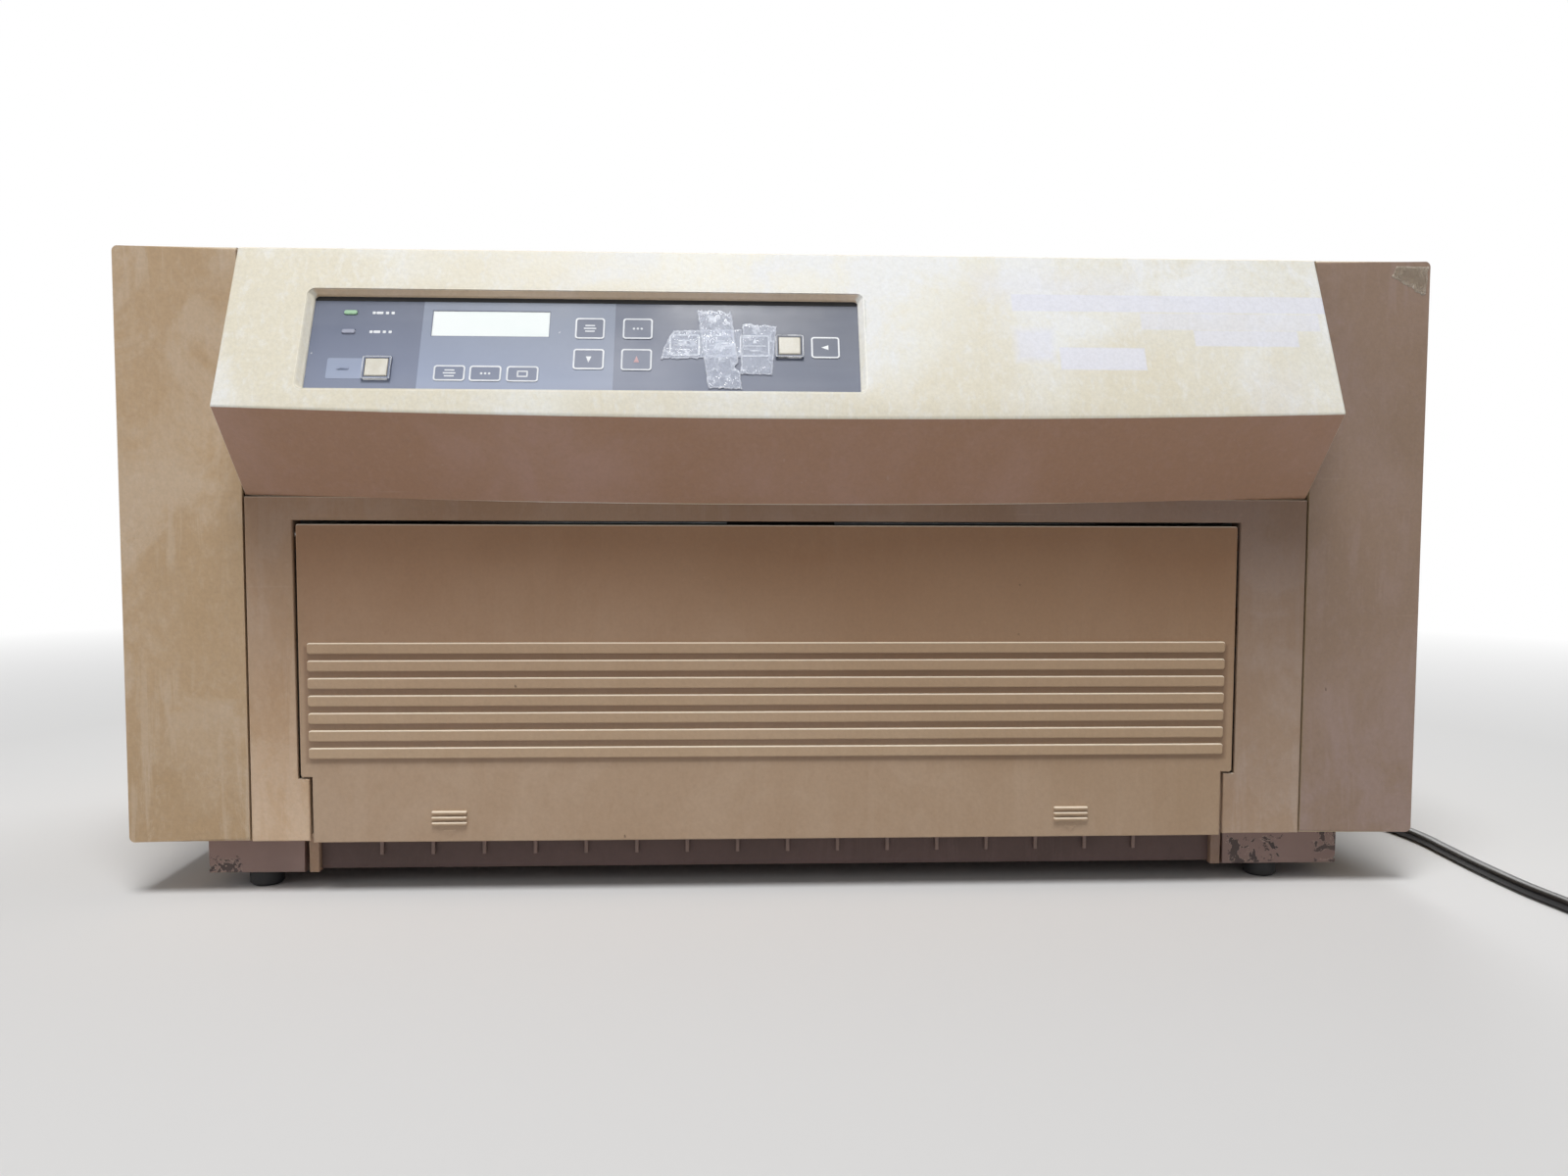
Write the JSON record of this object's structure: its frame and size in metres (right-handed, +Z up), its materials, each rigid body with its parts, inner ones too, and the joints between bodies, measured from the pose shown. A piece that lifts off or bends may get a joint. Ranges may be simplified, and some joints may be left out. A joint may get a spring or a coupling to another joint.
{
  "type": "dot matrix printer",
  "caption": "Wide-carriage dot matrix printer with hinged hood, ribbed front door, rear cover, operator panel, tractor feed and a sliding print head on rails.",
  "frame": {"origin": "centre of the printer's box seen from above, on the surface under its rubber feet", "axes": "+X to the right along the carriage as seen from the front, -Y out of the front door, +Z up"},
  "size_m": [0.856, 0.5226, 0.344],
  "materials": {
    "beige_plastic": "fine moulded texture, yellowed",
    "cream_plastic": "fine moulded texture, lightly yellowed",
    "door_plastic": "fine moulded texture",
    "pan_paint": "chipped paint on sheet steel",
    "rubber": "matt",
    "zinc_steel": "zinc plated sheet",
    "bright_steel": "ground shaft",
    "black_plastic": "moulded",
    "white_plastic": "moulded acetal",
    "blue_plastic": "moulded",
    "panel_film": "printed membrane film",
    "display_glass": "pale reflective display",
    "green_lens": "moulded lens",
    "grey_lens": "moulded lens",
    "smoked": "smoked acrylic",
    "board_green": "solder resist",
    "motor_metal": "painted steel",
    "bronze": "sintered bronze",
    "cord_rubber": "glossy black sheath"
  },
  "bodies": {
    "chassis": {"base_pan": "pan_paint", "rubber_feet": "rubber", "side_cover_left": "beige_plastic", "side_cover_right": "beige_plastic", "cover_screws": "zinc_steel", "front_frame": "beige_plastic", "hinge_pins": "bright_steel", "front_apron": "door_plastic", "rear_panel": "beige_plastic", "frame_plate_left": "zinc_steel", "frame_plate_right": "zinc_steel", "cross_beam": "zinc_steel", "paper_guide": "zinc_steel", "rear_guide": "zinc_steel", "shaft_bushes": "bronze", "feed_motor": "motor_metal", "feed_belt": "rubber", "guide_rods": "bright_steel", "carriage_belt": "rubber", "belt_brackets": "zinc_steel", "space_motor": "motor_metal", "ribbon_cartridge": "black_plastic", "fan_housing": "black_plastic", "power_supply": "zinc_steel", "logic_board": "board_green", "mains_inlet": "black_plastic", "switch_frame": "black_plastic", "cord_connector": "cord_rubber", "mains_cord": "cord_rubber", "cord_coil": "cord_rubber", "mains_plug": "cord_rubber"},
    "hood": {"top_cover": "cream_plastic", "hood_window": "smoked", "panel_overlay": "panel_film", "lcd_window": "display_glass", "power_led": "green_lens", "alarm_led": "grey_lens", "panel_board": "board_green"},
    "left_button": {"button_left": "cream_plastic"},
    "right_button": {"button_right": "cream_plastic"},
    "door": {"front_door": "door_plastic"},
    "rear_lid": {"rear_cover": "beige_plastic"},
    "platen": {"platen_roller": "rubber", "platen_shaft": "bright_steel", "platen_gear": "white_plastic"},
    "pinion": {"feed_pinion": "bright_steel"},
    "tractor_drive": {"tractor_shaft": "bright_steel"},
    "left_tractor": {"tractor_left": "black_plastic"},
    "right_tractor": {"tractor_right": "black_plastic"},
    "left_tractor_lid": {"tractor_lid_left": "black_plastic"},
    "right_tractor_lid": {"tractor_lid_right": "black_plastic"},
    "head_carriage": {"carriage": "black_plastic", "print_head": "motor_metal"},
    "belt_drive": {"drive_pulley": "bright_steel"},
    "belt_idler": {"idler_pulley": "white_plastic"},
    "knob": {"ribbon_knob": "blue_plastic"},
    "bail": {"paper_bail": "bright_steel"},
    "lever": {"gap_lever": "blue_plastic"},
    "fan": {"fan_rotor": "black_plastic"},
    "rocker": {"power_switch": "black_plastic"}
  },
  "joints": [
    {"name": "hood_hinge", "type": "hinge", "parent": "chassis", "child": "hood", "pos_m": [0, 0.064, 0.332], "axis": [-1, 0, 0], "range_deg": [0, 65]},
    {"name": "door_hinge", "type": "hinge", "parent": "chassis", "child": "door", "pos_m": [0, -0.1455, 0.1946], "axis": [-1, 0, 0], "range_deg": [0, 90]},
    {"name": "rear_cover_hinge", "type": "hinge", "parent": "chassis", "child": "rear_lid", "pos_m": [0, 0.1805, 0.246], "axis": [-1, 0, 0], "range_deg": [0, 90]},
    {"name": "left_button_press", "type": "slide", "parent": "hood", "child": "left_button", "axis": [0, 0.9122, -0.4098], "range_m": [0, 0.0015], "stiffness_N_per_m": 400, "springref_m": -0.001},
    {"name": "right_button_press", "type": "slide", "parent": "hood", "child": "right_button", "axis": [0, 0.9122, -0.4098], "range_m": [0, 0.0015], "stiffness_N_per_m": 400, "springref_m": -0.001},
    {"name": "platen_spin", "type": "hinge", "parent": "chassis", "child": "platen", "pos_m": [0, 0.0395, 0.232], "axis": [1, 0, 0], "continuous": true},
    {"name": "pinion_spin", "type": "hinge", "parent": "chassis", "child": "pinion", "pos_m": [0, 0.062, 0.19303], "axis": [1, 0, 0], "continuous": true},
    {"name": "tractor_drive_spin", "type": "hinge", "parent": "chassis", "child": "tractor_drive", "pos_m": [0, -0.098, 0.14], "axis": [1, 0, 0], "continuous": true},
    {"name": "left_tractor_slide", "type": "slide", "parent": "chassis", "child": "left_tractor", "axis": [1, 0, 0], "range_m": [-0.025, 0.025]},
    {"name": "right_tractor_slide", "type": "slide", "parent": "chassis", "child": "right_tractor", "axis": [1, 0, 0], "range_m": [-0.025, 0.025]},
    {"name": "left_tractor_lid_hinge", "type": "hinge", "parent": "left_tractor", "child": "left_tractor_lid", "pos_m": [-0.2145, -0.1155, 0.1], "axis": [0, 0, -1], "range_deg": [0, 90]},
    {"name": "right_tractor_lid_hinge", "type": "hinge", "parent": "right_tractor", "child": "right_tractor_lid", "pos_m": [0.1945, -0.1155, 0.1], "axis": [0, 0, 1], "range_deg": [0, 90]},
    {"name": "carriage_slide", "type": "slide", "parent": "chassis", "child": "head_carriage", "axis": [1, 0, 0], "range_m": [-0.185, 0.185]},
    {"name": "belt_drive_spin", "type": "hinge", "parent": "chassis", "child": "belt_drive", "pos_m": [-0.248, -0.0465, 0.184], "axis": [0, 0, 1], "range_deg": [-860, 860]},
    {"name": "belt_idler_spin", "type": "hinge", "parent": "chassis", "child": "belt_idler", "pos_m": [0.248, -0.0465, 0.184], "axis": [0, 0, 1], "range_deg": [-860, 860]},
    {"name": "ribbon_knob_spin", "type": "hinge", "parent": "chassis", "child": "knob", "pos_m": [-0.2, -0.1115, 0.24], "axis": [0, 0, 1], "continuous": true},
    {"name": "bail_hinge", "type": "hinge", "parent": "chassis", "child": "bail", "pos_m": [0, 0.09, 0.262], "axis": [-1, 0, 0], "range_deg": [0, 40]},
    {"name": "gap_lever_hinge", "type": "hinge", "parent": "chassis", "child": "lever", "pos_m": [0.263, 0.005, 0.262], "axis": [-1, 0, 0], "range_deg": [0, 40]},
    {"name": "fan_spin", "type": "hinge", "parent": "chassis", "child": "fan", "pos_m": [0.16, 0.176, 0.135], "axis": [0, 1, 0], "continuous": true},
    {"name": "rocker_hinge", "type": "hinge", "parent": "chassis", "child": "rocker", "pos_m": [0.232, 0.181, 0.103], "axis": [1, 0, 0], "range_deg": [0, 18]}
  ],
  "couplings": [
    {"joint": "pinion_spin", "follows": "platen_spin", "ratio": -4},
    {"joint": "tractor_drive_spin", "follows": "platen_spin", "ratio": 1},
    {"joint": "belt_drive_spin", "follows": "carriage_slide", "rad_per_m": -80},
    {"joint": "belt_idler_spin", "follows": "carriage_slide", "rad_per_m": -80}
  ]
}
